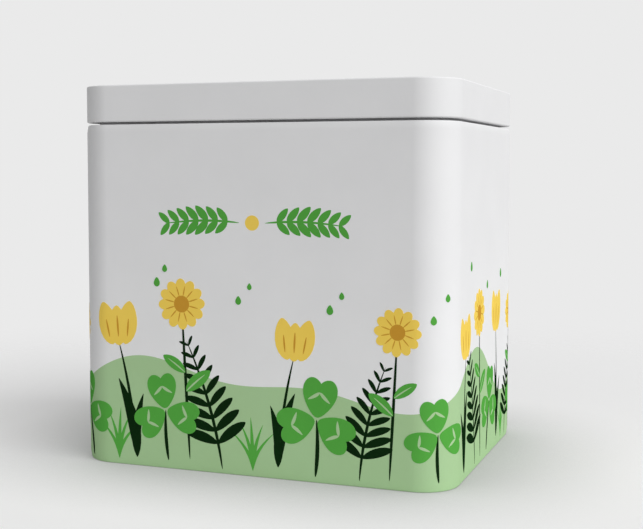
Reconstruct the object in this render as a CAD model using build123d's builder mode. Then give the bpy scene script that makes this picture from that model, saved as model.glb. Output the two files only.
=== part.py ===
"""Rectangular printed tin with a lift-off lid, for storing dishwasher tablets.

Three pieces of tinplate: the wall, one bent section carried round the outline, the pressed base that stands
in the rolled foot, and the drawn lid that slides over the neck and closes flush with the wall.
X runs along the broad front, the front faces -Y and the tin stands on z = 0.
"""

import os

from build123d import *

# Overall size in millimetres, with the lid on
box_width = 134.0
box_depth = 102.0
box_height = 130.0
corner_radius = 13.0

# Tinplate thickness, the same in all three pieces
sheet = 0.28

# Lid: height of the skirt, its bends and the lower edge turned in flat
lid_height = 12.5
lid_bend = 0.5
lid_flange = 4.0

# Neck inside the lid, with the clearances that let the lid slide and its rim folded inwards on itself
lid_play = 0.4
seat_gap = 0.85
rim_gap = 0.1
rim_fold_depth = 4.0
rim_bevel = 0.14

# Shoulder under the lid: the wall leans in a little there, as it does above the foot, and turns in flat
edge_lean = 0.4
edge_lean_height = 2.6
shoulder_bend = 0.5

# Foot: the wall's lower edge turned inwards and up again
foot_bend = 0.6
foot_flat = 1.8
foot_height = 3.2

# Base panel: edge turned down into the foot, middle pressed up
base_fit = 0.05
base_bend = 0.7
panel_margin = 9.0
panel_corner_radius = 7.0
panel_rise = 0.9
panel_slope = 45.0

# Upright lock seam in the middle of the back
seam_width = 5.0
seam_layers = 3
seam_groove_width = 0.35
seam_groove_depth = 0.14
seam_end_gap = 1.5

# Heights and insets that follow from these sizes
lid_edge_z = box_height - lid_height
top_inset = 2 * lid_bend
shoulder_z = lid_edge_z - seat_gap
neck_inset = lid_flange + lid_play
rim_top_z = box_height - sheet - rim_gap
rim_inset = neck_inset + 2 * sheet
foot_width = edge_lean + 2 * foot_bend + foot_flat
base_inset = edge_lean + sheet + base_fit
base_top_z = foot_height + sheet
wall_straight_z = shoulder_z - edge_lean_height

# Upright plane across the middle of the right-hand wall: local X runs inwards, local Y upwards
section_plane = Plane(origin=(box_width / 2, 0, 0), x_dir=(-1, 0, 0), z_dir=(0, 1, 0))

# Body wall: outside bends are round, and inside them the sheet is bevelled
with BuildPart() as body_wall:
    with BuildLine() as outline:
        side_end = (box_width / 2, box_depth / 2 - corner_radius)
        Line((box_width / 2, 0), side_end)
        corner = JernArc(start=side_end, tangent=(0, 1), radius=corner_radius, arc_size=90)
        Line(corner @ 1, (0, box_depth / 2))
        mirror(about=Plane.YZ)
        mirror(about=Plane.XZ)
    with BuildSketch(section_plane):
        with BuildLine():
            foot_line = FilletPolyline(
                (foot_width - foot_bend, 0),
                (edge_lean, 0),
                (0, edge_lean_height),
                radius=foot_bend,
            )
            Line(foot_line @ 1, (0, wall_straight_z))
            FilletPolyline(
                (0, wall_straight_z),
                (edge_lean, shoulder_z),
                (neck_inset, shoulder_z),
                radius=shoulder_bend,
            )
            Polyline(
                (neck_inset, shoulder_z),
                (neck_inset, rim_top_z - rim_bevel),
                (neck_inset + rim_bevel, rim_top_z),
                (rim_inset - rim_bevel, rim_top_z),
                (rim_inset, rim_top_z - rim_bevel),
                (rim_inset, rim_top_z - rim_fold_depth),
                (rim_inset - sheet, rim_top_z - rim_fold_depth),
                (rim_inset - sheet, shoulder_z - sheet),
                (edge_lean + shoulder_bend, shoulder_z - sheet),
                (edge_lean + sheet, shoulder_z - shoulder_bend),
                (sheet, wall_straight_z),
                (sheet, edge_lean_height),
                (edge_lean + sheet, foot_bend),
                (edge_lean + foot_bend, sheet),
                (foot_width - foot_bend, sheet),
                (foot_width - sheet, foot_bend),
                (foot_width - sheet, foot_height),
                (foot_width, foot_height),
                (foot_width, foot_bend),
                (foot_width - foot_bend, 0),
            )
        make_face()
    sweep(path=outline.wire())

    # Folded layers of the lock seam lie inside, and only its fine joint shows outside
    seam_bottom_z = base_top_z + seam_end_gap
    seam_top_z = wall_straight_z - seam_end_gap
    with BuildSketch(Plane.XY.offset(seam_bottom_z)):
        with Locations((0, box_depth / 2 - sheet)):
            Rectangle(seam_width, seam_layers * sheet, align=(Align.CENTER, Align.MAX))
    extrude(amount=seam_top_z - seam_bottom_z)
    with BuildSketch(Plane.XY.offset(edge_lean_height)):
        with Locations((seam_width / 2, box_depth / 2)):
            Rectangle(seam_groove_width, seam_groove_depth, align=(Align.MAX, Align.MAX))
    extrude(amount=wall_straight_z - edge_lean_height, mode=Mode.SUBTRACT)

# Base panel: an inverted tray that stands on the inner edge of the foot
with BuildPart() as base_panel:
    with BuildSketch(Plane.XY.offset(foot_bend)):
        RectangleRounded(
            box_width - 2 * base_inset,
            box_depth - 2 * base_inset,
            corner_radius - base_inset,
        )
    extrude(amount=base_top_z - foot_bend)
    chamfer(base_panel.faces().sort_by(Axis.Z)[-1].edges(), length=base_bend)
    offset(amount=-sheet, openings=base_panel.faces().sort_by(Axis.Z)[0])
    with BuildSketch(Plane.XY.offset(base_top_z)) as pressed_panel:
        RectangleRounded(
            box_width - 2 * panel_margin,
            box_depth - 2 * panel_margin,
            panel_corner_radius,
        )
    extrude(amount=panel_rise, taper=panel_slope)
    with BuildSketch(Plane.XY.offset(base_top_z - sheet)):
        add(pressed_panel.sketch_local)
    extrude(amount=panel_rise, taper=panel_slope, mode=Mode.SUBTRACT)

# Lid: a drawn cap, its skirt and flange carried round the outline and its top closed by a flat panel
with BuildPart() as lid:
    with BuildSketch(section_plane):
        with BuildLine():
            FilletPolyline(
                (top_inset, box_height),
                (0, box_height),
                (0, lid_edge_z),
                (lid_flange, lid_edge_z),
                radius=lid_bend,
            )
            Polyline(
                (lid_flange, lid_edge_z),
                (lid_flange, lid_edge_z + sheet),
                (lid_bend, lid_edge_z + sheet),
                (sheet, lid_edge_z + lid_bend),
                (sheet, box_height - lid_bend),
                (lid_bend, box_height - sheet),
                (top_inset, box_height - sheet),
                (top_inset, box_height),
            )
        make_face()
    sweep(path=outline.wire())
    with BuildSketch(Plane.XY.offset(box_height - sheet)):
        RectangleRounded(
            box_width - 2 * top_inset,
            box_depth - 2 * top_inset,
            corner_radius - top_inset,
        )
    extrude(amount=sheet)

body_wall.part.label = "body_wall"
base_panel.part.label = "base_panel"
lid.part.label = "lid"

os.makedirs("parts", exist_ok=True)
export_step(body_wall.part, "parts/body_wall.step")
export_step(base_panel.part, "parts/base_panel.step")
export_step(lid.part, "parts/lid.step")
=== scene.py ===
"""Printed rectangular tin for dishwasher tablets, dressed for the photograph.

The sections follow the tin as it is made: the wall strip, the inks printed on it, the pressed base,
the lift-off lid, and then the table, light and camera. Sizes in millimetres are turned to metres by mm.
"""

import math

import bmesh
import bpy
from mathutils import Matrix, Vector


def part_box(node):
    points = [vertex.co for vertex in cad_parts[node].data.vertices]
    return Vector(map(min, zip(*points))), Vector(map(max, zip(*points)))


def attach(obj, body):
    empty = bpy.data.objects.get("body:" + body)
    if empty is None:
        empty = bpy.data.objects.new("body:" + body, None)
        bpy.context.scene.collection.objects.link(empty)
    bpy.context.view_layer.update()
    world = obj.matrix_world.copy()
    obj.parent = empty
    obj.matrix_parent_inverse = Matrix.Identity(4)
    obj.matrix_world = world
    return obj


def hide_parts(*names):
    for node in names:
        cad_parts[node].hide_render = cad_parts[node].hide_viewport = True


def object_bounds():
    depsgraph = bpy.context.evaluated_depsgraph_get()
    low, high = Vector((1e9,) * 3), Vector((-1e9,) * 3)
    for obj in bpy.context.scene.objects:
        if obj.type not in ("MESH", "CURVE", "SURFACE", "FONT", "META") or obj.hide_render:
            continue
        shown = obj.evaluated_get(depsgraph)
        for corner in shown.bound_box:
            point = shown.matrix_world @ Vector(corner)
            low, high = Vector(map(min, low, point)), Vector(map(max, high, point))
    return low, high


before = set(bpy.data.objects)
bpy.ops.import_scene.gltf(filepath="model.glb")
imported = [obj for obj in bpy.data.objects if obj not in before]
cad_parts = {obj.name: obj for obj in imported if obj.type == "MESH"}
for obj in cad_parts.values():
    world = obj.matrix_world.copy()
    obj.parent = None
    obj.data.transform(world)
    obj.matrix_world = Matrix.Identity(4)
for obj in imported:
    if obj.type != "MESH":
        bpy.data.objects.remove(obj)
cad_low, cad_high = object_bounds()

# Wall: one strip of white-lacquered tinplate, bent round four upright corners and locked at the back.
# The strip is turned in flat at the shoulder, stands up as the neck that the lid slides over, and is folded
# back on itself at the rim. Its lower edge is turned in and up again as the foot.
mm = 0.001
sheet = 0.28 * mm
# Wall and lid are this much smaller all round than the solids, as room for the ink on the wall
ink_room = 0.11 * mm
wall_low, wall_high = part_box("body_wall")
lid_low, lid_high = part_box("lid")
wall_width = wall_high.x - wall_low.x - 2 * ink_room
wall_depth = wall_high.y - wall_low.y - 2 * ink_room
corner_radius = 13 * mm - ink_room
corner_steps = 24
seat_gap = 0.85 * mm
shoulder_z = lid_low.z - seat_gap
shoulder_bend = 0.5 * mm
edge_lean = 0.4 * mm
edge_lean_height = 2.6 * mm
lean_angle = math.atan2(edge_lean, edge_lean_height)
wall_straight_z = shoulder_z - edge_lean_height
neck_inset = 4.4 * mm - ink_room
rim_fold_width = 2.2 * sheet
rim_fold_depth = 4 * mm
rim_bend = 0.2 * mm
foot_bend = 0.6 * mm
foot_width = 3.4 * mm - ink_room
foot_height = 3.2 * mm
seam_width = 5 * mm
seam_fold = 3 * sheet
seam_bend = 1.4 * sheet
seam_end_gap = 1.5 * mm
seam_groove_width = 0.35 * mm
seam_groove_depth = 0.14 * mm
bend_angle = math.radians(35)
tiny = 0.001 * mm


def pick(kind, test):
    """Selects the faces or edges of the piece in edit mode whose points all pass the test, and no others."""
    bpy.ops.mesh.select_mode(type=kind)
    bpy.ops.mesh.select_all(action="DESELECT")
    form = bmesh.from_edit_mesh(bpy.context.edit_object.data)
    for item in form.faces if kind == "FACE" else form.edges:
        item.select_set(all(test(vert.co) for vert in item.verts))
    bmesh.update_edit_mesh(bpy.context.edit_object.data)


def push(x, y, z):
    """Extrudes the selected faces by a distance."""
    bpy.ops.mesh.extrude_region_move(TRANSFORM_OT_translate={"value": (x, y, z)})


def inside_wall(point):
    """How far a point lies inside the tin's rounded outline."""
    over_x = abs(point.x) - wall_width / 2 + corner_radius
    over_y = abs(point.y) - wall_depth / 2 + corner_radius
    return corner_radius - math.hypot(max(over_x, 0), max(over_y, 0)) - min(max(over_x, over_y), 0)


def start_block(name, width, depth, low, high, radius):
    """Adds a cube at its size and place, rounds its upright edges and leaves it in edit mode."""
    bpy.ops.object.select_all(action="DESELECT")
    bpy.ops.mesh.primitive_cube_add(
        size=1,
        location=(0, 0, (low + high) / 2),
        scale=(width, depth, high - low),
    )
    bpy.context.object.name = name
    bpy.ops.object.transform_apply(location=True, rotation=True, scale=True)
    bpy.ops.object.mode_set(mode="EDIT")
    bpy.ops.mesh.select_mode(type="EDGE")
    bpy.ops.mesh.select_all(action="DESELECT")
    form = bmesh.from_edit_mesh(bpy.context.edit_object.data)
    for edge in form.edges:
        edge.select_set(abs(edge.verts[0].co.z - edge.verts[1].co.z) > tiny)
    bmesh.update_edit_mesh(bpy.context.edit_object.data)
    bpy.ops.mesh.bevel(offset=radius, segments=corner_steps, affect="EDGES")
    return bpy.context.object


def round_edge(height, inset, bend, steps, lean=0.0):
    """Rounds the ring of edges at a height and an inset from the outline, where the wall may lean in."""
    pick("EDGE", lambda p: abs(p.z - height) < tiny and abs(inside_wall(p) - inset) < 10 * tiny)
    bpy.ops.mesh.bevel(offset=bend * math.tan(math.pi / 4 - lean / 2), segments=steps, affect="EDGES")


def finish_sheet(piece, outside, inside):
    """Gives the formed skin the thickness of the sheet, inwards, with one finish outside and one inside."""
    bpy.ops.object.mode_set(mode="OBJECT")
    piece.data.materials.append(outside)
    piece.data.materials.append(inside)
    solidify = piece.modifiers.new("sheet", "SOLIDIFY")
    solidify.thickness = sheet
    solidify.offset = -1
    solidify.use_even_offset = True
    solidify.material_offset = 1
    solidify.material_offset_rim = 1
    bpy.ops.object.modifier_apply(modifier=solidify.name)


def smooth(piece):
    """Shades the bends round and keeps the flat faces flat."""
    bpy.ops.object.shade_smooth_by_angle(angle=bend_angle)
    flat = piece.modifiers.new("flat faces", "WEIGHTED_NORMAL")
    flat.keep_sharp = True
    bpy.ops.object.modifier_apply(modifier=flat.name)


def srgb(text):
    """Linear colour of an sRGB hex value."""
    parts = [int(text[i : i + 2], 16) / 255 for i in (0, 2, 4)]
    return [c / 12.92 if c <= 0.04045 else ((c + 0.055) / 1.055) ** 2.4 for c in parts] + [1]


def node(material, kind, settings=(), values=(), links=()):
    """Adds a node, sets its properties and its sockets' values, and links sockets to other nodes' outputs."""
    made = material.node_tree.nodes.new(kind)
    for key, value in dict(settings).items():
        setattr(made, key, value)
    for key, value in dict(values).items():
        made.inputs[key].default_value = value
    for key, output in dict(links).items():
        material.node_tree.links.new(output, made.inputs[key])
    return made


def start_material(name):
    """A new node material, its shader already joined to the output, and the place on the piece."""
    material = bpy.data.materials.new(name)
    material.use_nodes = True
    shader = material.node_tree.nodes["Principled BSDF"]
    place = node(material, "ShaderNodeTexCoord").outputs["Object"]
    return material, shader, place


def lacquer(name, colour, clouded, roughness, shine):
    """Roller-coated lacquer or matt ink: nearly even, faintly clouded, with a fine orange-peel skin."""
    material, shader, place = start_material(name)
    cloud_size = 18 * mm
    # Real orange peel is nearer half a millimetre across, and is drawn coarser so that it shows
    peel_size = 1.6 * mm
    peel_depth = 0.01 * mm
    gloss_spread = 0.05
    cloud = node(
        material,
        "ShaderNodeTexNoise",
        values={"Scale": 1 / cloud_size, "Detail": 3.0, "Roughness": 0.5},
        links={"Vector": place},
    )
    tint = node(
        material,
        "ShaderNodeValToRGB",
        links={"Fac": cloud.outputs["Fac"]},
    )
    tint.color_ramp.elements[0].position = 0.3
    tint.color_ramp.elements[1].position = 0.7
    tint.color_ramp.elements[0].color = srgb(clouded)
    tint.color_ramp.elements[1].color = srgb(colour)
    peel = node(
        material,
        "ShaderNodeTexNoise",
        values={"Scale": 1 / peel_size, "Detail": 2.0, "Roughness": 0.4},
        links={"Vector": place},
    )
    gloss = node(
        material,
        "ShaderNodeMapRange",
        values={"To Min": roughness - gloss_spread, "To Max": roughness + gloss_spread},
        links={"Value": cloud.outputs["Fac"]},
    )
    skin = node(
        material,
        "ShaderNodeBump",
        values={"Strength": 0.25, "Distance": peel_depth},
        links={"Height": peel.outputs["Fac"]},
    )
    shader.inputs["IOR"].default_value = 1.5
    shader.inputs["Specular IOR Level"].default_value = shine
    material.node_tree.links.new(tint.outputs["Color"], shader.inputs["Base Color"])
    material.node_tree.links.new(gloss.outputs["Result"], shader.inputs["Roughness"])
    material.node_tree.links.new(skin.outputs["Normal"], shader.inputs["Normal"])
    return material


def tinplate(name, across):
    """Bare tinplate: bright cold-rolled steel under a tin flash, streaked by the rolls across an axis."""
    material, shader, place = start_material(name)
    # Real streaks are a few hundredths of a millimetre wide, and are drawn coarser so that they show
    streak_width = 0.5 * mm
    streak_length = 40 * mm
    streak_depth = 0.01 * mm
    fineness = [1 / streak_length] * 3
    fineness["XYZ".index(across)] = 1 / streak_width
    stretch = node(
        material,
        "ShaderNodeMapping",
        values={"Scale": fineness},
        links={"Vector": place},
    )
    streaks = node(
        material,
        "ShaderNodeTexNoise",
        values={"Scale": 1.0, "Detail": 4.0, "Roughness": 0.6},
        links={"Vector": stretch.outputs["Vector"]},
    )
    tint = node(
        material,
        "ShaderNodeValToRGB",
        links={"Fac": streaks.outputs["Fac"]},
    )
    tint.color_ramp.elements[0].position = 0.3
    tint.color_ramp.elements[1].position = 0.7
    tint.color_ramp.elements[0].color = srgb("BDBEBF")
    tint.color_ramp.elements[1].color = srgb("CFCFCE")
    gloss = node(
        material,
        "ShaderNodeMapRange",
        values={"To Min": 0.24, "To Max": 0.38},
        links={"Value": streaks.outputs["Fac"]},
    )
    skin = node(
        material,
        "ShaderNodeBump",
        values={"Strength": 0.15, "Distance": streak_depth},
        links={"Height": streaks.outputs["Fac"]},
    )
    shader.inputs["Metallic"].default_value = 1.0
    material.node_tree.links.new(tint.outputs["Color"], shader.inputs["Base Color"])
    material.node_tree.links.new(gloss.outputs["Result"], shader.inputs["Roughness"])
    material.node_tree.links.new(skin.outputs["Normal"], shader.inputs["Normal"])
    return material


# White lacquer gives a soft satin white outside, and the bare strip a streaky grey mirror inside
white_lacquer = lacquer("white lacquered tinplate", "F3F3F4", "F0F0F1", roughness=0.5, shine=0.2)
strip_tinplate = tinplate("bare tinplate strip", "Z")

# Shoulder, neck and folded rim are drawn up out of the top of the block
wall = start_block("tin_wall", wall_width, wall_depth, edge_lean_height, wall_straight_z, corner_radius)
pick("FACE", lambda p: abs(p.z - wall_straight_z) < tiny)
bpy.ops.mesh.inset(thickness=edge_lean, depth=edge_lean_height)
bpy.ops.mesh.inset(thickness=neck_inset - edge_lean)
push(0, 0, wall_high.z - shoulder_z)
bpy.ops.mesh.inset(thickness=rim_fold_width)
push(0, 0, -rim_fold_depth)
bpy.ops.mesh.delete(type="FACE")

# Foot is turned in and up out of the bottom, and then all the bends are rounded
pick("FACE", lambda p: abs(p.z - edge_lean_height) < tiny)
bpy.ops.mesh.inset(thickness=edge_lean, depth=edge_lean_height)
bpy.ops.mesh.inset(thickness=foot_width - edge_lean)
push(0, 0, foot_height)
bpy.ops.mesh.delete(type="FACE")
round_edge(shoulder_z, edge_lean, shoulder_bend, steps=4, lean=lean_angle)
round_edge(wall_high.z, neck_inset, rim_bend, steps=2)
round_edge(wall_high.z, neck_inset + rim_fold_width, rim_bend, steps=2)
round_edge(0, edge_lean, foot_bend, steps=6, lean=lean_angle)
round_edge(0, foot_width, foot_bend, steps=4)

# Seam: its fine joint shows outside the back, and its folded layers lie inside
for groove_side in (seam_width / 2 - seam_groove_width, seam_width / 2):
    pick("FACE", lambda p: abs(p.y - wall_depth / 2) < tiny)
    bpy.ops.mesh.bisect(plane_co=(groove_side, 0, 0), plane_no=(1, 0, 0))
pick(
    "FACE",
    lambda p: abs(p.y - wall_depth / 2) < tiny
    and seam_width / 2 - seam_groove_width - tiny < p.x < seam_width / 2 + tiny,
)
push(0, -seam_groove_depth, 0)
finish_sheet(wall, white_lacquer, strip_tinplate)
seam_low = foot_height + sheet + seam_end_gap
seam_high = wall_straight_z - seam_end_gap
bpy.ops.mesh.primitive_cube_add(
    size=1,
    location=(0, wall_depth / 2 - sheet - seam_fold / 2, (seam_low + seam_high) / 2),
    scale=(seam_width, seam_fold, seam_high - seam_low),
)
fold = bpy.context.object
fold.data.materials.append(strip_tinplate)
bpy.ops.object.transform_apply(location=True, rotation=True, scale=True)
bpy.ops.object.mode_set(mode="EDIT")
for side in (-1, 1):
    pick("EDGE", lambda p: p.y < wall_depth / 2 - sheet - seam_fold + tiny and side * p.x > 0)
    bpy.ops.mesh.bevel(offset=seam_bend, segments=4, affect="EDGES")
bpy.ops.object.mode_set(mode="OBJECT")
wall.select_set(True)
bpy.context.view_layer.objects.active = wall
bpy.ops.object.join()
smooth(wall)
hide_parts("body_wall")
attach(wall, "tin")

# Hills: the first ink on the strip, a matt pale green field with a rolling upper edge. The strip is printed
# flat and then bent, so every print is drawn flat, along from the middle of the front and up from the table,
# as a thin film of ink, and then bent round the tin with the wall.
front_run = wall_width - 2 * corner_radius
side_run = wall_depth - 2 * corner_radius
corner_run = corner_radius * math.pi / 2
half_way = front_run + side_run + 2 * corner_run
seam_margin = 0.3 * mm
strip_start = -half_way - seam_width / 2 + seam_groove_width + seam_margin
strip_end = half_way - seam_width / 2 - seam_margin
# Each ink is a step thicker than the one under it, and copies that cross are a lift apart.
# All reach a little way into the wall, so that no gap is left under them.
ink_step = 0.006 * mm
ink_lift = 0.0021 * mm
ink_bed = 0.008 * mm
# Matt inks mirror nothing, so their colours read flat from every side
ink_roughness = 0.6
ink_shine = 0.0
ink_angle = math.radians(30)
foot_roll_z = foot_bend * math.tan(math.pi / 4 - lean_angle / 2) * math.cos(lean_angle)
foot_roll_cuts = 5
hill_ink_turn = math.radians(55)
hill_ink_low = foot_roll_z - hill_ink_turn * foot_bend
hill_columns = 360
hill_middle = 31
broad_swell = 6.5
narrow_swell = 5


def hill_height(along):
    """Upper edge of the field, alike on opposite sides of the tin: two and three swells on each half."""
    turn = 2 * math.pi * along / half_way
    broad = broad_swell * math.sin(2 * turn + 2.9)
    narrow = narrow_swell * math.sin(3 * turn - 0.5)
    return (hill_middle + broad + narrow) * mm


def film(piece, ink, level):
    """Gives a flat drawing the thickness of its ink. Inks of a higher level lie on those below."""
    bpy.ops.object.select_all(action="DESELECT")
    piece.select_set(True)
    bpy.context.view_layer.objects.active = piece
    piece.data.materials.append(ink)
    bpy.ops.object.mode_set(mode="EDIT")
    bpy.ops.mesh.select_mode(type="FACE")
    bpy.ops.mesh.select_all(action="DESELECT")
    form = bmesh.from_edit_mesh(piece.data)
    for face in form.faces:
        face.select_set(face.normal.z < 0)
    bmesh.update_edit_mesh(piece.data)
    bpy.ops.mesh.flip_normals()
    bpy.ops.object.mode_set(mode="OBJECT")
    solidify = piece.modifiers.new("ink", "SOLIDIFY")
    solidify.thickness = level * ink_step + ink_bed
    solidify.offset = 1
    bpy.ops.object.modifier_apply(modifier=solidify.name)
    return piece


def bent(along, up, proud):
    """Place on the bent wall of a point of the flat strip."""
    turn, run = divmod(along + front_run / 2, half_way)
    if run < front_run:
        foot, facing = Vector((run - front_run / 2, -wall_depth / 2)), Vector((0, -1))
    elif run < front_run + corner_run:
        angle = (run - front_run) / corner_radius
        facing = Vector((math.sin(angle), -math.cos(angle)))
        foot = Vector((front_run / 2, -side_run / 2)) + facing * corner_radius
    elif run < front_run + corner_run + side_run:
        foot, facing = Vector((wall_width / 2, run - front_run - corner_run - side_run / 2)), Vector((1, 0))
    else:
        angle = (run - front_run - corner_run - side_run) / corner_radius
        facing = Vector((math.cos(angle), math.sin(angle)))
        foot = Vector((front_run / 2, side_run / 2)) + facing * corner_radius
    lean = lean_angle if up < edge_lean_height else 0
    line = max(up, foot_roll_z)
    roll = lean + (line - up) / foot_bend
    inset = edge_lean * max(0, 1 - line / edge_lean_height)
    foot = foot + facing * ((foot_bend + proud) * math.cos(roll) - foot_bend * math.cos(lean) - inset)
    height = line - (foot_bend + proud) * math.sin(roll) + foot_bend * math.sin(lean)
    side = -1 if turn % 2 else 1
    return Vector((side * foot.x, side * foot.y, height))


def print_on_wall(piece):
    """Cuts a flat film where the wall's corners and foot bend, clears the seam and bends it round the tin."""
    low = min(vert.co.x for vert in piece.data.vertices)
    high = max(vert.co.x for vert in piece.data.vertices)
    cuts = []
    for turn in range(-2, 3):
        for corner in (front_run / 2, front_run / 2 + corner_run + side_run):
            for step in range(corner_steps + 1):
                cuts.append((turn * half_way + corner + corner_run * step / corner_steps, 0, (1, 0, 0)))
    gap_low = strip_end - 2 * half_way
    gap_high = strip_start
    cuts += [(gap_low, 0, (1, 0, 0)), (gap_high, 0, (1, 0, 0))]
    cuts = [cut for cut in cuts if low < cut[0] < high]
    cuts.append((0, edge_lean_height, (0, 1, 0)))
    for step in range(foot_roll_cuts):
        cuts.append((0, foot_roll_z - hill_ink_turn * foot_bend * step / foot_roll_cuts, (0, 1, 0)))
    bpy.ops.object.select_all(action="DESELECT")
    piece.select_set(True)
    bpy.context.view_layer.objects.active = piece
    bpy.ops.object.mode_set(mode="EDIT")
    for along, up, across in cuts:
        bpy.ops.mesh.select_all(action="SELECT")
        bpy.ops.mesh.bisect(plane_co=(along, up, 0), plane_no=across, threshold=tiny / 10)
    if low < gap_low:
        pick("FACE", lambda p: gap_low - tiny < p.x < gap_high + tiny)
        bpy.ops.mesh.delete(type="FACE")
        bpy.ops.mesh.select_all(action="SELECT")
        bpy.ops.mesh.fill_holes(sides=0)
    bpy.ops.mesh.select_all(action="SELECT")
    bpy.ops.mesh.normals_make_consistent(inside=False)
    bpy.ops.object.mode_set(mode="OBJECT")
    for vert in piece.data.vertices:
        vert.co = bent(vert.co.x, vert.co.y, vert.co.z - ink_bed)
    bpy.ops.object.shade_smooth_by_angle(angle=ink_angle)
    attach(piece, "tin")


hill_green = lacquer("matt pale green ink", "B0D2A1", "AECF9D", ink_roughness, ink_shine)
bpy.ops.object.select_all(action="DESELECT")
bpy.ops.mesh.primitive_grid_add(x_subdivisions=hill_columns, y_subdivisions=1, size=1)
hills = bpy.context.object
hills.name = "print_hills"
for vert in hills.data.vertices:
    along = strip_start + (vert.co.x + 0.5) * (strip_end - strip_start)
    vert.co = (along, hill_ink_low if vert.co.y < 0 else hill_height(along), 0)
print_on_wall(film(hills, hill_green, level=1))


# Grass: tufts of narrow pointed blades, fanned out from one root. They are the first print in leaf green,
# a flat matt ink, laid over the foot of the field and alike on both halves of the strip.
def leaf(length, width, pointed=0.5, belly=0.0, bow=0.0, points=20):
    """A flat leaf, blade, petal or dot that stands up from the origin, shaped from a circle."""
    bpy.ops.object.select_all(action="DESELECT")
    bpy.ops.mesh.primitive_circle_add(vertices=points, radius=1, fill_type="NGON")
    piece = bpy.context.object
    for vert in piece.data.vertices:
        rise = (1 + vert.co.y) / 2
        half = vert.co.x * abs(vert.co.x) ** pointed * (1 - belly * vert.co.y) * width / 2
        vert.co = (half + bow * rise**2, rise * length, 0)
    return piece


def copied(piece, along, up, turn=0.0, size=1.0, lift=0, flip=False):
    """A copy with its own mesh, set in place on the flat strip. Lift keeps copies that cross apart."""
    twin = piece.copy()
    twin.data = piece.data.copy()
    bpy.context.scene.collection.objects.link(twin)
    twin.location = (along, up, lift * ink_lift)
    twin.rotation_euler = (0, 0, math.radians(turn))
    twin.scale = (-size if flip else size, size, 1)
    return twin


def gathered(name, pieces, patterns=()):
    """Joins pieces into one, with its place in its mesh, and clears away the patterns they copied."""
    bpy.ops.object.select_all(action="DESELECT")
    for piece in pieces:
        piece.select_set(True)
    bpy.context.view_layer.objects.active = pieces[0]
    bpy.ops.object.transform_apply(location=True, rotation=True, scale=True)
    bpy.ops.object.join()
    whole = bpy.context.object
    whole.name = name
    for pattern in patterns:
        bpy.data.objects.remove(pattern)
    return whole


def growing(name, motif, places):
    """Prints a motif on both halves of the strip. A place is along and up in mm, turn, size and flip."""
    twins = []
    for along, up, turn, size, flip in places:
        for half in (0, half_way):
            twins.append(copied(motif, along * mm - half, up * mm, turn, size, 0, flip))
    print_on_wall(gathered(name, twins, [motif]))


leaf_green = lacquer("matt leaf green ink", "5BAE49", "57AA46", ink_roughness, ink_shine)
blade_bows = (-11, -5, 1, 6, 12)
blade_drop = 0.12
middle_blade = 2
blades = [leaf(24 * mm, 1.7 * mm, pointed=0.5, belly=0.4, bow=bow * mm) for bow in blade_bows]
for count, blade in enumerate(blades):
    blade.location = (0, 0, count * ink_lift)
    blade.scale = (1, 1 - blade_drop * abs(count - middle_blade), 1)
growing(
    "print_grass",
    film(gathered("tuft", blades), leaf_green, level=2),
    [
        (-50, 2, 0, 0.75, False),
        (0, 2, 0, 0.75, True),
        (138, 2, 0, 0.7, False),
    ],
)

# Ferns: fronds in deep green, the darkest ink, flat and matt. Each is one thin bowed stalk with pairs of
# leaflets that shorten and lean forward to the tip, printed over field and grass.
deep_green = lacquer("matt deep green ink", "122C13", "102811", ink_roughness, ink_shine)
fern_length = 44 * mm
fern_bow = 7 * mm
fern_pairs = 9
fern_first = 0.2
fern_leafy = 0.76
fern_taper = 0.78
fern_spread = 62
fern_closing = 24
fern_leaflet = leaf(15 * mm, 4.2 * mm, pointed=0.35, belly=-0.1, bow=1.5 * mm)
frond = [leaf(fern_length, 1.1 * mm, pointed=0.1, belly=0.3, bow=fern_bow, points=32)]
for pair in range(fern_pairs):
    rise = fern_first + fern_leafy * pair / (fern_pairs - 1)
    along = fern_bow * rise**2
    lean = -math.degrees(math.atan2(2 * fern_bow * rise, fern_length))
    reach = 1.0 - fern_taper * rise
    spread = fern_spread - fern_closing * rise
    for flip in (False, True):
        turn = lean + spread * (1 if flip else -1)
        lift = 1 + pair % 2 * 2 + flip
        frond.append(copied(fern_leaflet, along, rise * fern_length, turn, reach, lift, flip))
growing(
    "print_ferns",
    film(gathered("fern", frond, [fern_leaflet]), deep_green, level=4),
    [
        (-11, 1.5, 8, 1.0, True),
        (37, 2, -4, 0.86, False),
        (95, 2, 6, 0.95, True),
        (145, 2, -4, 0.8, False),
    ],
)

# Tulips: cups of three crossing petals in yellow with streaks in ochre, the two warm inks, flat and matt.
# They are printed over the deep green of a bowed stalk with two long leaves at its foot.
petal_yellow = lacquer("matt yellow ink", "FFDC65", "FCD85F", ink_roughness, ink_shine)
petal_ochre = lacquer("matt ochre ink", "D59E3A", "D19A37", ink_roughness, ink_shine)
stalk_length = 40 * mm
stalk_bow = 4 * mm
long_leaf_turn = 4
petal_aside = 2.4 * mm
petal_turn = 11
outer_petal_up = stalk_length - 1 * mm
inner_petal_up = stalk_length - 1.4 * mm
streak_up = stalk_length + 1.5 * mm
streak_turn = -2.5
stalk = leaf(stalk_length, 1.1 * mm, pointed=0.05, belly=0.2, bow=stalk_bow, points=28)
long_leaf = leaf(27 * mm, 4.4 * mm, pointed=0.6, belly=0.25, bow=7 * mm, points=28)
long_leaves = [
    copied(long_leaf, 0, 0, long_leaf_turn),
    copied(long_leaf, 0, 0, -long_leaf_turn, size=0.8, lift=1, flip=True),
]
petal = leaf(15 * mm, 7.5 * mm, pointed=0.25, belly=0.12)
cup = [
    copied(petal, stalk_bow - petal_aside, outer_petal_up, petal_turn),
    copied(petal, stalk_bow + petal_aside, outer_petal_up, -petal_turn, lift=1),
    copied(petal, stalk_bow, inner_petal_up, size=0.92, lift=2),
]
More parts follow.
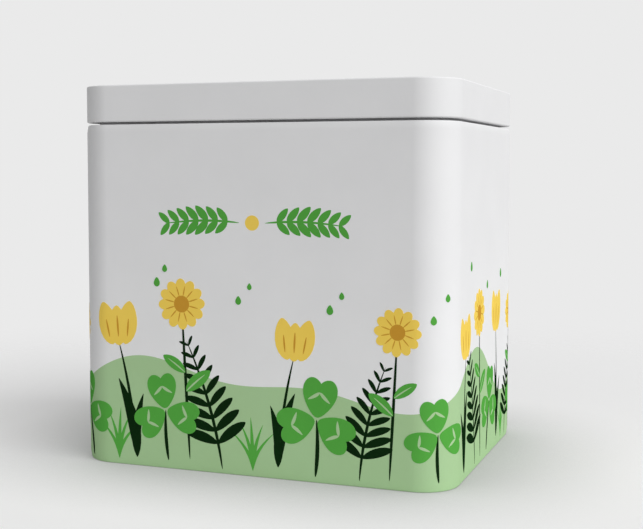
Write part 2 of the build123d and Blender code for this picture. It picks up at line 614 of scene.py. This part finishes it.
streak = leaf(8 * mm, 0.8 * mm, pointed=0.2, points=12)
streaks = []
for aside, size in ((-3.4, 0.8), (0, 0.95), (3.4, 0.8)):
    streaks.append(copied(streak, stalk_bow + aside * mm, streak_up, streak_turn * aside, size))
tulip = gathered(
    "tulip",
    [
        film(gathered("long_leaves", long_leaves, [long_leaf]), deep_green, level=6),
        film(stalk, deep_green, level=7),
        film(gathered("cup", cup, [petal]), petal_yellow, level=8),
        film(gathered("streaks", streaks, [streak]), petal_ochre, level=9),
    ],
)
growing(
    "print_tulips",
    tulip,
    [
        (-43, 3, 4, 1.0, True),
        (9, 4, -3, 0.92, False),
        (79, 3, 3, 0.95, False),
        (130, 4, -3, 1.0, True),
    ],
)

# Daisies: round yellow flowers with an eye and fine creases in ochre, printed over ferns and tulips.
# Each stands on a thin straight deep green stalk with two leaf green leaves that have pale midribs.
daisy_height = 50 * mm
leaf_ups = (22 * mm, 28 * mm)
leaf_turn = 48
petal_count = 12
eye_size = 5.4 * mm
stalk = leaf(daisy_height, 1.0 * mm, pointed=0.05, belly=0.2, points=24)
small_leaf = leaf(11 * mm, 4.4 * mm, pointed=0.45, bow=1 * mm)
small_leaves = [
    copied(small_leaf, 0, leaf_ups[0], -leaf_turn),
    copied(small_leaf, 0, leaf_ups[1], leaf_turn, size=0.85, lift=1, flip=True),
]
midrib = leaf(8.8 * mm, 0.55 * mm, pointed=0.2, belly=0.3, bow=0.64 * mm, points=14)
midribs = [
    copied(midrib, 0, leaf_ups[0], -leaf_turn),
    copied(midrib, 0, leaf_ups[1], leaf_turn, size=0.85, flip=True),
]


def around_eye(piece, start, first, lifts):
    """Copies of a petal or crease all round the eye, from a distance out and from a first place on."""
    ring = []
    for count in range(petal_count):
        turn = 2 * math.pi * (count + first) / petal_count
        aside = -start * math.sin(turn)
        up = daisy_height + start * math.cos(turn)
        ring.append(copied(piece, aside, up, math.degrees(turn), lift=count % lifts))
    return ring


ray_petal = leaf(7.7 * mm, 3.5 * mm, pointed=0.0, belly=-0.3)
crease = leaf(3.5 * mm, 0.42 * mm, pointed=0.2, belly=0.2, points=12)
eye = leaf(eye_size, eye_size, pointed=0.0, points=28)
eye.location.y = daisy_height - eye_size / 2
rays = around_eye(ray_petal, start=0.5 * mm, first=0, lifts=2)
creases = around_eye(crease, start=2.5 * mm, first=0.5, lifts=1)
daisy = gathered(
    "daisy",
    [
        film(stalk, deep_green, level=10),
        film(gathered("small_leaves", small_leaves, [small_leaf]), leaf_green, level=11),
        film(gathered("midribs", midribs, [midrib]), hill_green, level=11.7),
        film(gathered("rays", rays, [ray_petal]), petal_yellow, level=12),
        film(gathered("creases", creases, [crease]), petal_ochre, level=12.7),
        film(eye, petal_ochre, level=13),
    ],
)
growing(
    "print_daisies",
    daisy,
    [
        (-23, 4, 3, 1.05, False),
        (47, 3, -3, 0.95, True),
        (103, 3, 3, 1.0, False),
        (153, 3, 0, 0.9, False),
    ],
)

# Clovers: the nearest plants, printed over all the others. Three heart-shaped leaflets in leaf green, each
# with a chevron in the pale green of the field, sit on a bowed deep green stalk.
clover_height = 17 * mm
clover_bow = 2 * mm
clover_turns = (0, 114, -114)
lobe_turn = 16
lobe_up = 0.7 * mm
arm_turn = 134
arm_up = 8.2 * mm
stalk = leaf(clover_height, 1.2 * mm, pointed=0.05, belly=0.2, bow=clover_bow, points=24)
lobe = leaf(12 * mm, 6.2 * mm, pointed=0.1, belly=-0.3, points=32)
lobes = [
    copied(lobe, 0, lobe_up, lobe_turn),
    copied(lobe, 0, lobe_up, -lobe_turn, lift=1),
]
leaflet = gathered("leaflet", lobes, [lobe])
leaflets = []
for count, turn in enumerate(clover_turns):
    leaflets.append(copied(leaflet, clover_bow, clover_height, turn, lift=2 * count))
arm = leaf(4.4 * mm, 1.0 * mm, pointed=0.2, belly=0.3, bow=0.5 * mm, points=16)
arms = [
    copied(arm, 0, arm_up, arm_turn),
    copied(arm, 0, arm_up, -arm_turn, lift=1, flip=True),
]
chevron = gathered("chevron", arms, [arm])
chevrons = [copied(chevron, clover_bow, clover_height, turn) for turn in clover_turns]
clover = gathered(
    "clover",
    [
        film(stalk, deep_green, level=14),
        film(gathered("leaflets", leaflets, [leaflet]), leaf_green, level=15),
        film(gathered("chevrons", chevrons, [chevron]), hill_green, level=17),
    ],
)
growing(
    "print_clovers",
    clover,
    [
        (-31, 3, 10, 1.0, False),
        (22, 2, -8, 1.1, True),
        (63, 3, 8, 0.9, False),
        (113, 3, -8, 1.0, False),
        (163, 2, 6, 1.0, True),
    ],
)

# Dew: small upright drops in the leaf green ink, printed flat and matt on the white lacquer.
# They are scattered above the plants, singly and in pairs, and alike on opposite sides.
drop = leaf(3.2 * mm, 2.2 * mm, pointed=0.25, belly=0.35, points=16)
drop_places = [
    (-35, 62, 1.0),
    (-32, 67, 0.8),
    (-5, 57, 0.9),
    (-1, 62, 0.7),
    (27, 55, 1.0),
    (31, 60, 0.75),
    (61, 53, 0.9),
    (66, 60, 0.8),
    (88, 68, 1.0),
    (113, 60, 0.9),
    (136, 62, 1.0),
]
growing(
    "print_dew",
    film(drop, leaf_green, level=16),
    [(along, up, 0, size, False) for along, up, size in drop_places],
)

# Sprigs: the one print of the upper half, on the front alone, straight on the white lacquer.
# Two mirrored leafy sprigs in leaf green lie on either side of a round bead in yellow.
sprig_length = 27 * mm
sprig_bow = 3.5 * mm
sprig_up = 84 * mm
sprig_gap = 4.5 * mm
sprig_turn = 84
sprig_pairs = 7
sprig_first = 0.16
sprig_step = 0.13
sprig_fullest = 0.45
sprig_taper = 0.45
sprig_spread = 46
sprig_forward = 12
bead_size = 5 * mm
sprig_leaf = leaf(6.8 * mm, 2.8 * mm, pointed=0.4, belly=0.1)
sprig = [leaf(sprig_length, 0.8 * mm, pointed=0.05, belly=0.2, bow=sprig_bow, points=24)]
for pair in range(sprig_pairs):
    rise = sprig_first + sprig_step * pair
    along = sprig_bow * rise**2
    size = 1.0 - sprig_taper * abs(rise - sprig_fullest)
    for flip in (False, True):
        turn = (sprig_spread if flip else -sprig_spread) - sprig_forward * rise
        sprig.append(copied(sprig_leaf, along, rise * sprig_length, turn, size, 1 + flip, flip))
sprig = film(gathered("sprig", sprig, [sprig_leaf]), leaf_green, level=2)
bead = leaf(bead_size, bead_size, pointed=0.0, points=28)
bead.location.y = sprig_up - bead_size / 2
sprigs = [
    copied(sprig, sprig_gap, sprig_up, -sprig_turn),
    copied(sprig, -sprig_gap, sprig_up, sprig_turn, flip=True),
]
print_on_wall(gathered("print_sprigs", [film(bead, petal_yellow, level=2)] + sprigs, [sprig]))

# Base: one pressed sheet of bare tinplate, its middle pressed up and its edge turned down into the foot.
# The CAD node has its form, so it gets only the finish, a grey mirror with streaks that run along the front.
sheet_tinplate = tinplate("bare tinplate sheet", "Y")
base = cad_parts["base_panel"]
base.data.materials.clear()
base.data.materials.append(sheet_tinplate)

# Lid: one drawn sheet with the same white lacquer. Its top bends down into a skirt that closes flush with
# the wall, and the lower edge of the skirt is turned in flat, so that no cut edge is left outside.
lid_bend = 0.5 * mm
lid_flange = 4 * mm - ink_room
lid = start_block("tin_lid", wall_width, wall_depth, lid_low.z, lid_high.z, corner_radius)
pick("FACE", lambda p: abs(p.z - lid_low.z) < tiny)
bpy.ops.mesh.inset(thickness=lid_flange)
bpy.ops.mesh.delete(type="FACE")
round_edge(lid_high.z, 0, lid_bend, steps=4)
round_edge(lid_low.z, 0, lid_bend, steps=4)
finish_sheet(lid, white_lacquer, sheet_tinplate)
smooth(lid)
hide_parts("lid")
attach(lid, "lid")

# Table: a plain sweep of pale matt paper under the tin. It keeps the soft shadow of the tin, and a painted
# shade darkens the paper's colour close to the foot. It fades out into the backdrop. The light it throws back
# on the tin is plain.
backdrop = 0.823
table_radius = 1.5
table_sides = 96
fade_start = 0.1
fade_end = 0.38
# Reach of the painted shade around the foot, and how much the gamma deepens it
painted_shade_reach = 56 * mm
painted_shade_depth = 1.15
paper_tone = 0.95
paper_glow = 0.24
bounce_tone = 0.78


def seeing_ray(owner):
    """One for rays that the eye sees by, straight, mirrored or through glass, and zero for others."""
    path = node(owner, "ShaderNodeLightPath")
    mirrored = node(
        owner,
        "ShaderNodeMath",
        settings={"operation": "MAXIMUM"},
        links={0: path.outputs["Is Glossy Ray"], 1: path.outputs["Is Transmission Ray"]},
    )
    either = node(
        owner,
        "ShaderNodeMath",
        settings={"operation": "MAXIMUM"},
        links={0: path.outputs["Is Camera Ray"], 1: mirrored.outputs[0]},
    )
    return either.outputs[0]


bpy.ops.object.select_all(action="DESELECT")
bpy.ops.mesh.primitive_circle_add(
    vertices=table_sides,
    radius=table_radius,
    fill_type="NGON",
    location=(0, 0, 0),
)
table = bpy.context.object
table.name = "table"
sweep, paper, place = start_material("pale paper sweep")
# Painted shade: an occlusion node darkens the paper's colour near the tin as the eye sees it, and a gamma
# deepens it
painted_contact_shade = node(
    sweep,
    "ShaderNodeAmbientOcclusion",
    settings={"samples": 8},
    values={"Distance": painted_shade_reach, "Color": (paper_tone, paper_tone, paper_tone, 1)},
)
deepened_painted_shade = node(
    sweep,
    "ShaderNodeGamma",
    values={"Gamma": painted_shade_depth},
    links={"Color": painted_contact_shade.outputs["Color"]},
)
paper.inputs["Roughness"].default_value = 0.9
paper.inputs["Specular IOR Level"].default_value = 0.1
sweep.node_tree.links.new(deepened_painted_shade.outputs["Color"], paper.inputs["Base Color"])
glow = node(sweep, "ShaderNodeEmission", values={"Color": (1, 1, 1, 1), "Strength": 1.0})
seen = node(
    sweep,
    "ShaderNodeMixShader",
    values={0: paper_glow},
    links={1: paper.outputs[0], 2: glow.outputs[0]},
)
bounce = node(sweep, "ShaderNodeBsdfDiffuse", values={"Color": (bounce_tone, bounce_tone, bounce_tone, 1)})
lit = node(
    sweep,
    "ShaderNodeMixShader",
    links={0: seeing_ray(sweep), 1: bounce.outputs[0], 2: seen.outputs[0]},
)
distance = node(sweep, "ShaderNodeVectorMath", settings={"operation": "LENGTH"}, links={0: place})
fade = node(
    sweep,
    "ShaderNodeMapRange",
    settings={"interpolation_type": "SMOOTHSTEP"},
    values={"From Min": fade_start, "From Max": fade_end},
    links={"Value": distance.outputs["Value"]},
)
clear = node(sweep, "ShaderNodeBsdfTransparent")
faded = node(
    sweep,
    "ShaderNodeMixShader",
    links={0: fade.outputs["Result"], 1: lit.outputs[0], 2: clear.outputs[0]},
)
sweep.node_tree.links.new(faded.outputs[0], sweep.node_tree.nodes["Material Output"].inputs["Surface"])
table.data.materials.append(sweep)

# Light: one large round soft lamp to the right of the front and above, and an even fill from a white studio.
# The eye sees that studio as a plain pale grey backdrop, and so do reflections.
fill_strength = 0.301
lamp_azimuth = math.radians(65)
lamp_elevation = math.radians(38)
lamp_distance = 4.0
lamp_size = 5.2
lamp_power = 167.0
world = bpy.data.worlds.new("studio")
bpy.context.scene.world = world
world.use_nodes = True
fill = world.node_tree.nodes["Background"]
fill.inputs["Color"].default_value = (1, 1, 1, 1)
fill.inputs["Strength"].default_value = fill_strength
shown = node(
    world,
    "ShaderNodeBackground",
    values={"Color": (backdrop, backdrop, backdrop, 1), "Strength": 1.0},
)
mixed = node(
    world,
    "ShaderNodeMixShader",
    links={0: seeing_ray(world), 1: fill.outputs[0], 2: shown.outputs[0]},
)
world.node_tree.links.new(mixed.outputs[0], world.node_tree.nodes["World Output"].inputs["Surface"])
aim = Vector((0, 0, (cad_low.z + cad_high.z) / 2))
towards = Vector(
    (
        math.sin(lamp_azimuth) * math.cos(lamp_elevation),
        -math.cos(lamp_azimuth) * math.cos(lamp_elevation),
        math.sin(lamp_elevation),
    )
)
bpy.ops.object.light_add(type="AREA", location=aim + towards * lamp_distance)
lamp = bpy.context.object
lamp.data.shape = "DISK"
lamp.data.size = lamp_size
lamp.data.energy = lamp_power
lamp.rotation_euler = towards.to_track_quat("Z", "Y").to_euler()

# Camera: a longish lens a little above the middle of the tin, turned to its right-hand front corner.
# It looks down slightly, and a small shift keeps the upright edges of the tin nearer to parallel.
camera_place = (0.15079, -0.39758, 0.10186)
camera_tilt = math.radians(90 - 3.488)
camera_turn = math.radians(20.068)
bpy.ops.object.camera_add(location=camera_place, rotation=(camera_tilt, 0, camera_turn))
camera = bpy.context.object
camera.data.lens = 64.891
camera.data.sensor_width = 36
camera.data.shift_y = -0.04
bpy.context.scene.camera = camera
bpy.context.scene.view_settings.view_transform = "Standard"
